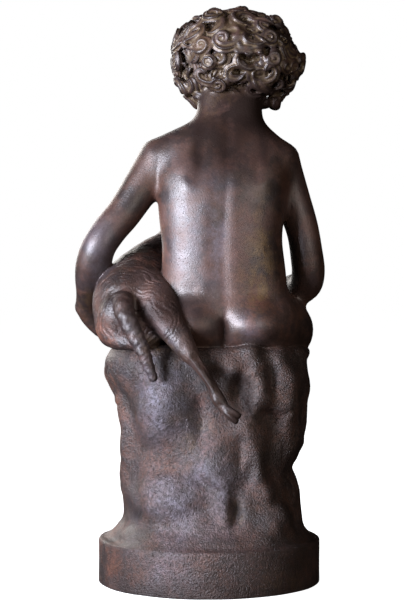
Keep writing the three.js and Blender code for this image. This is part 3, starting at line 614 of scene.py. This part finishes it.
def buildLamb():
    volume = newVolume((-80, -245, 270), (205, 195, 690))
    addForm(volume, tubeSkin(lamb["fleece"], around=48), 1)
    addForm(volume, tubeSkin(lamb["farHaunch"]), 16)
    addForm(volume, ballSkin(*lamb["groin"]), 12)
    addForm(volume, tubeSkin(lamb["hindLeg"][:5]), 13)
    addForm(volume, ballSkin(*lamb["topknot"]), 14)
    swell(volume, [[66, 150, 432, 14, 30, 10, 2], [122, 120, 470, 9, 40, 26, -7], [104, 126, 428, 16, 24, 14, -6],
                   [84, 100, 496, 20, 30, 20, 3]])
    woolRows(volume, lamb["wool"], 1.0)
    smooth = newVolume(volume["low"] * work["voxel"],
                       (volume["low"] + volume["dist"].shape) * work["voxel"] - work["voxel"])
    addForm(smooth, tubeSkin(lamb["skull"], around=36), 1)
    for ribs in lamb["ears"]:
        addForm(smooth, tubeSkin(ribs, across=(0.4, 0.5, 0.8)), 7)
    for shift in (0, 22):
        leg = np.array(lamb["foreLeg"], float) + [shift, 0, 0, 0, 0]
        addForm(smooth, tubeSkin(leg), 5)
        addForm(smooth, joinSkins(hoofSkins(leg[-1, :3], leg[-1, :3] + [-4, 0, -16], (0.3, 1, 0))), 2)
    addForm(smooth, tubeSkin(lamb["hindLeg"][3:]), 5)
    addForm(smooth, joinSkins(hoofSkins([-29, 172, 304], [-47, 175, 291], (0.45, 0.3, -0.9))), 2)
    swell(smooth, [[-12, -186, 646, 4, 5, 4, 2.5], [-20, -158, 646, 4, 5, 4, 2.5],
                   [31, 168, 402, 7, 7, 7, 2.5], [22, 164, 392, 6, 8, 6, -1.5],
                   [-10, 176, 322, 5, 5, 5, 2.5], [-19, 175, 314, 3, 5, 3, -2.5], [-64, -205, 606, 3, 3, 3, -1.5]])
    ridge(smooth, [[34, 170, 396], [8, 171, 358], [-8, 174, 334]], (3, 6, 3), 2.6)
    ridge(smooth, [[24, 166, 396], [-2, 169, 358], [-14, 173, 338]], (2.6, 6, 2.6), -2.4)
    ridge(smooth, [[10, 172, 372], [-6, 172, 348]], (2.4, 6, 2.4), 1.6)
    ridge(smooth, [[-16, 178, 300], [-26, 180, 318]], (2.2, 6, 2.2), -2.2)
    tail = tubeSkin(lamb["tail"], around=36, steps=16,
                    ripple=lambda s, a: 0.98 + 0.05 * np.sin(2 * math.pi * 9 * s + 2 * a) + 0.05 * np.sin(
                        2 * math.pi * 17 * s - 3 * a + 2 * np.sin(9 * s)))
    mergeDistances(volume, smooth["low"], smooth["dist"], 6)
    addForm(volume, tail, 4)
    print("lamb: fleece, legs and tail")
    return volume


# ---------- the casting ----------
parts = ((buildRock, 1), (buildBoy, 5), (buildHead, 8), (buildLamb, 4), (buildHair, 2.5))


# Merges the parts and remembers for every cube which of them is nearest
def castWhole():
    whole = newVolume((-205, -250, -6), (250, 205, 1016))
    whole["owner"] = np.zeros(whole["dist"].shape, np.int8)
    for index, (build, soft) in enumerate(parts):
        part = build()
        inner, outer = overlap(whole, part["low"], part["dist"].shape)
        whole["owner"][inner][part["dist"][outer] < whole["dist"][inner]] = index
        mergeDistances(whole, part["low"], part["dist"], soft)
    return whole


# The zero surface of the distances, as points in metres and quads
def surfaceOf(volume):
    dist = np.clip(volume["dist"], -4 * work["voxel"], 4 * work["voxel"])
    grid = openvdb.FloatGrid(4 * work["voxel"])
    grid.transform = openvdb.createLinearTransform(voxelSize=work["voxel"])
    grid.copyFromArray(dist, ijk=tuple(int(v) for v in volume["low"]), tolerance=0)
    points, quads = grid.convertToQuads(0.0)
    return points.astype(np.float64) * 0.001, quads[:, ::-1]


def meshFrom(name, points, faces):
    mesh = bpy.data.meshes.new(name)
    mesh.vertices.add(len(points))
    mesh.vertices.foreach_set("co", np.ascontiguousarray(points, np.float32).ravel())
    mesh.loops.add(faces.size)
    mesh.loops.foreach_set("vertex_index", np.ascontiguousarray(faces, np.int32).ravel())
    mesh.polygons.add(len(faces))
    mesh.polygons.foreach_set("loop_start", np.arange(0, faces.size, faces.shape[1], dtype=np.int32))
    mesh.update(calc_edges=True)
    mesh.validate()
    return mesh


def makeStatue():
    whole = castWhole()
    points, quads = surfaceOf(whole)
    print("surface:", len(points), "points")
    rough = bpy.data.objects.new("rough", meshFrom("rough", points, quads))
    bpy.context.scene.collection.objects.link(rough)
    thin = rough.modifiers.new("thin", "DECIMATE")
    thin.ratio = min(1.0, work["triangles"] / (2 * len(quads)))
    evaluated = rough.evaluated_get(bpy.context.evaluated_depsgraph_get())
    mesh = bpy.data.meshes.new_from_object(evaluated)
    bpy.data.objects.remove(rough)
    mesh.name = "statueCasting"
    mesh.polygons.foreach_set("use_smooth", np.ones(len(mesh.polygons), bool))
    mesh.update()
    markSurface(mesh, whole)
    mesh.materials.append(ironMaterial())
    statue = bpy.data.objects.new("statueCasting", mesh)
    bpy.context.scene.collection.objects.link(statue)
    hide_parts("statue")
    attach(statue, "root")
    print("statue:", len(mesh.polygons), "triangles")


# Writes values per point for the iron: how rounded it is (curve, 0.5 flat, 1 an edge, 0 a hollow), how coarse
# the cast skin is there, where the hair is, how much rust red and gold brown lies on it, and where a pale painted
# highlight and a dark painted shade (with some dark stains on the upper back) are laid on
def markSurface(mesh, whole):
    count = len(mesh.vertices)
    points, normals = np.empty(count * 3), np.empty(count * 3)
    mesh.vertices.foreach_get("co", points)
    mesh.vertices.foreach_get("normal", normals)
    points, normals = points.reshape(-1, 3), normals.reshape(-1, 3)
    ends = np.empty(len(mesh.edges) * 2, np.int32)
    mesh.edges.foreach_get("vertices", ends)
    first, second = ends.reshape(-1, 2).T
    degree = np.bincount(ends, minlength=count)

    def spread(values, times):
        for _ in range(times):
            near = (np.bincount(first, values[second], count) + np.bincount(second, values[first], count)) / degree
            values = 0.5 * values + 0.5 * near
        return values

    step = points[second] - points[first]
    bend = ((normals[second] - normals[first]) * step).sum(1) / np.maximum((step ** 2).sum(1), 1e-9)
    curve = (np.bincount(first, bend, count) + np.bincount(second, bend, count)) / degree
    curve = 0.5 + 0.5 * np.tanh(0.006 * spread(curve, 2))
    cell = np.round(points * 1000 / work["voxel"]).astype(int) - whole["low"]
    cell = np.clip(cell, 0, np.array(whole["owner"].shape) - 1)
    owner = whole["owner"][cell[:, 0], cell[:, 1], cell[:, 2]]
    coarse = spread(np.array([1.0, 0.13, 0.13, 0.4, 0.12])[owner], 6)
    hairy = spread((owner == 4).astype(float), 3)
    spots = {name: sum(weight * np.exp(-((points - np.array(at) * 0.001) ** 2 / (np.array(size) * 0.001) ** 2).sum(1))
                       for at, size, weight in rows) for name, rows in iron["patches"].items()}
    for name, values in {"curve": curve, "coarse": coarse, "hairy": hairy, **spots}.items():
        layer = mesh.attributes.new(name, "FLOAT", "POINT")
        layer.data.foreach_set("value", np.ascontiguousarray(values, np.float32))


# ---------- iron ----------
iron = {
    "brown": (0.085, 0.045, 0.036), "dark": (0.022, 0.013, 0.011), "rust": (0.20, 0.072, 0.038),
    # the pale lavender tone is a painted highlight
    "gold": (0.16, 0.088, 0.03), "paintedHighlight": (0.25, 0.23, 0.29), "hair": (0.17, 0.115, 0.062),
    "patches": {  # centre, size, weight
        "rust": [([185, 40, 330], [40, 90, 110], 0.8), ([180, 60, 40], [60, 90, 60], 0.8),
                 ([165, 90, 425], [60, 60, 26], 0.9), ([70, 150, 226], [60, 50, 18], 0.5),
                 ([110, 60, 520], [30, 60, 60], 0.3), ([88, 60, 560], [20, 60, 90], 0.5),
                 ([10, 150, 300], [16, 40, 50], 0.4), ([-90, 120, 448], [50, 50, 40], 0.5)],
        "gold": [([-92, 110, 575], [22, 50, 70], 0.9), ([-84, 110, 500], [26, 50, 34], 0.6),
                 ([24, 150, 258], [22, 50, 34], 0.8), ([-44, 150, 130], [14, 40, 24], 0.8),
                 ([80, 110, 412], [40, 60, 14], 1.2), ([196, 20, 470], [26, 40, 26], 0.7),
                 ([0, 60, 930], [60, 60, 60], 0.5), ([-40, 60, 850], [60, 60, 30], 0.7),
                 ([-120, 150, 20], [50, 70, 14], 0.6), ([0, 60, 812], [50, 50, 20], 0.5)],
        # pale lavender patches painted where the key light falls brightest on the back, rock and plinth: painted
        # highlight
        "paintedHighlight": [([30, 120, 600], [50, 60, 90], 0.25), ([-13, 120, 590], [11, 60, 80], 0.7),
                  ([92, 150, 335], [52, 60, 80], 1.0),
                  ([80, 150, 150], [70, 60, 70], 0.75), ([-62, 130, 436], [26, 50, 22], 0.4),
                  ([190, 50, 560], [30, 50, 60], 0.4), ([60, 190, 50], [50, 60, 40], 0.3),
                  ([-34, 150, 160], [26, 60, 70], 0.5), ([10, 150, 210], [20, 60, 50], 0.5)],
        # painted shade and painted cast shadow: the neck under the hair, the buttock cleft, the rock under the boy's
        # leg and the lamb's hoof, beside the tail, the left buttock behind the lamb, the plinth's foot and its sides;
        # the streaks on the upper back are partly painted shade, partly dark stains
        "dark": [([-36, 60, 806], [80, 70, 46], 1.0), ([-30, 90, 738], [40, 60, 46], 0.8),
                 ([19, 100, 730], [10, 60, 46], 1.0), ([-92, 100, 736], [11, 60, 42], 1.0),
                 ([-36, 110, 716], [6, 60, 22], 0.7), ([-88, 30, 812], [36, 60, 60], 0.6),
                 ([-25, 130, 428], [8, 40, 20], 1.0), ([-44, 178, 293], [16, 24, 14], 1.0),
                 ([-5, 140, 362], [22, 40, 34], 0.7), ([-49, 140, 345], [12, 40, 18], 0.8),
                 ([76, 124, 462], [30, 50, 26], 0.9), ([22, 110, 452], [30, 60, 34], 0.5),
                 ([0, 190, 14], [220, 60, 16], 0.5), ([-150, 130, 36], [60, 70, 60], 0.4),
                 ([155, 110, 40], [50, 70, 50], 0.45)]}}


# Adds a node with its inputs set: numbers and tuples go straight on the sockets, node outputs are linked
def put(tree, kind, inputs=None, **settings):
    node = tree.nodes.new("ShaderNode" + kind)
    for key, value in settings.items():
        setattr(node, key, value)
    for key, value in (inputs or {}).items():
        if isinstance(value, bpy.types.NodeSocket):
            tree.links.new(value, node.inputs[key])
        else:
            node.inputs[key].default_value = value
    return node


def ironMaterial():
    material = bpy.data.materials.new("patinatedIron")
    material.use_nodes = True
    tree = material.node_tree
    place = put(tree, "TexCoord").outputs["Object"]

    def layer(name):
        return put(tree, "Attribute", attribute_name=name).outputs["Fac"]

    def noise(scale, detail=4.0, rough=0.55, warp=0.0):
        return put(tree, "TexNoise", {"Vector": place, "Scale": scale, "Detail": detail, "Roughness": rough,
                                      "Distortion": warp}).outputs["Fac"]

    def ramp(value, low, high, start=0.0, end=1.0):
        return put(tree, "MapRange", {"Value": value, "From Min": low, "From Max": high, "To Min": start,
                                      "To Max": end}, interpolation_type="SMOOTHSTEP").outputs["Result"]

    def math2(kind, a, b):
        return put(tree, "Math", {0: a, 1: b}, operation=kind).outputs[0]

    def blend(share, a, b):
        node = put(tree, "Mix", {0: share, 6: a, 7: b}, data_type="RGBA")
        return node.outputs[2]

    def tone(name):
        return (*iron[name], 1.0)

    curve, coarse = layer("curve"), layer("coarse")
    cloud, patch, grain = noise(7.0, 5, 0.6, 0.4), noise(22.0, 6, 0.65, 0.3), noise(420.0, 3, 0.7)
    hollow = ramp(curve, 0.47, 0.2)
    colour = blend(ramp(cloud, 0.35, 0.7), tone("dark"), tone("brown"))
    colour = blend(math2("MULTIPLY", ramp(patch, 0.42, 0.62), math2("ADD", layer("rust"), 0.3)), colour, tone("rust"))
    colour = blend(math2("MULTIPLY", ramp(noise(30.0, 5, 0.7), 0.4, 0.62), math2("ADD", layer("gold"), 0.08)),
                   colour, tone("gold"))
    # painted highlight: pale lavender laid over the highlight patches, and faintly everywhere
    colour = blend(math2("MULTIPLY", ramp(noise(14.0, 6, 0.7), 0.3, 0.7), math2("ADD", layer("paintedHighlight"), 0.05)),
                   colour, tone("paintedHighlight"))
    colour = blend(math2("MULTIPLY", layer("hairy"), ramp(curve, 0.4, 0.75)), colour, tone("hair"))
    # painted shade and painted shadow: the dark patches darken the colour
    colour = blend(math2("MULTIPLY", ramp(noise(18.0, 5, 0.65, 0.5), 0.15, 0.5), layer("dark")), colour, tone("dark"))
    colour = blend(ramp(grain, 0.30, 0.62, 0.0, 0.35), colour, tone("dark"))
    specks = math2("ADD", math2("MULTIPLY", coarse, 0.55), 0.12)
    colour = blend(math2("MULTIPLY", ramp(noise(150.0, 6, 0.75), 0.56, 0.42), specks), colour, tone("dark"))
    colour = blend(math2("MULTIPLY", hollow, 0.75), colour, tone("dark"))
    roughness = math2("ADD", ramp(patch, 0.3, 0.7, 0.38, 0.52), math2("MULTIPLY", coarse, 0.06))
    pits = put(tree, "TexVoronoi", {"Vector": place, "Scale": 240.0, "Randomness": 1.0}).outputs["Distance"]
    fine = math2("MULTIPLY", ramp(pits, 0.0, 0.3), 0.6)
    relief = math2("ADD", math2("MULTIPLY", noise(340.0, 3, 0.6), 0.9), fine)
    bump = put(tree, "Bump", {"Strength": 1.0, "Height": math2("MULTIPLY", relief, coarse), "Distance": 0.0028})
    soft = put(tree, "Bump", {"Strength": 0.35, "Height": noise(120.0, 5, 0.6), "Distance": 0.0007,
                              "Normal": bump.outputs["Normal"]})
    shader = tree.nodes["Principled BSDF"]
    tree.links.new(colour, shader.inputs["Base Color"])
    tree.links.new(roughness, shader.inputs["Roughness"])
    tree.links.new(soft.outputs["Normal"], shader.inputs["Normal"])
    # the painted shade patches also lose their shine
    tree.links.new(ramp(layer("dark"), 0.0, 0.9, 0.75, 0.12), shader.inputs["Specular IOR Level"])
    shader.inputs["Metallic"].default_value = 0.2
    return material


# ---------- stage, lights and camera ----------
view = {"place": (0, 2.87, 0.505), "lens": 98.3, "down": 0.62, "aside": 0.19}


def makeStage():
    mesh = meshFrom("floor", np.array([[-30, -30, 0], [30, -30, 0], [30, 30, 0], [-30, 30, 0.0]]), np.array([[0, 1, 2, 3]]))
    floor = bpy.data.objects.new("floor", mesh)
    bpy.context.scene.collection.objects.link(floor)
    pale = bpy.data.materials.new("paleFloor")
    pale.use_nodes = True
    pale.node_tree.nodes["Principled BSDF"].inputs["Base Color"].default_value = (0.9, 0.9, 0.9, 1)
    pale.node_tree.nodes["Principled BSDF"].inputs["Roughness"].default_value = 0.9
    pale.node_tree.nodes["Principled BSDF"].inputs["Emission Color"].default_value = (1, 1, 1, 1)
    pale.node_tree.nodes["Principled BSDF"].inputs["Emission Strength"].default_value = 1.0
    mesh.materials.append(pale)
    floor.visible_glossy = False
    floor.visible_diffuse = False


def softLight(name, place, target, size, power, colour):
    data = bpy.data.lights.new(name, "AREA")
    data.shape = "SQUARE"
    data.size = size
    data.energy = power
    data.color = colour
    light = bpy.data.objects.new(name, data)
    place, target = np.array(place, float), np.array(target, float)
    light.location = place
    away = place - target
    light.rotation_euler = (math.atan2(math.hypot(away[0], away[1]), away[2]), 0, math.atan2(away[0], -away[1]))
    bpy.context.scene.collection.objects.link(light)


def lightStage():
    world = bpy.data.worlds.new("studio")
    world.use_nodes = True
    world.node_tree.nodes["Background"].inputs["Color"].default_value = (1, 1, 1, 1)
    world.node_tree.nodes["Background"].inputs["Strength"].default_value = 1.0
    world.cycles_visibility.glossy = False
    world.cycles_visibility.diffuse = False
    bpy.context.scene.world = world
    bpy.context.scene.view_settings.view_transform = "Standard"
    middle = (0, 0, 0.5)
    softLight("key", (2.35, 1.95, 0.95), middle, 1.4, 300, (0.82, 0.87, 1.0))
    softLight("fill", (-1.8, 3.2, 1.2), middle, 2.4, 48, (1.0, 0.93, 0.86))
    softLight("front", (1.6, -2.6, 1.6), middle, 1.8, 60, (1.0, 0.97, 0.93))


def placeCamera():
    data = bpy.data.cameras.new("camera")
    data.lens = view["lens"]
    camera = bpy.data.objects.new("camera", data)
    camera.location = view["place"]
    camera.rotation_euler = (math.radians(90 - view["down"]), 0, math.radians(180 + view["aside"]))
    bpy.context.scene.collection.objects.link(camera)
    bpy.context.scene.camera = camera


makeStatue()
makeStage()
lightStage()
placeCamera()
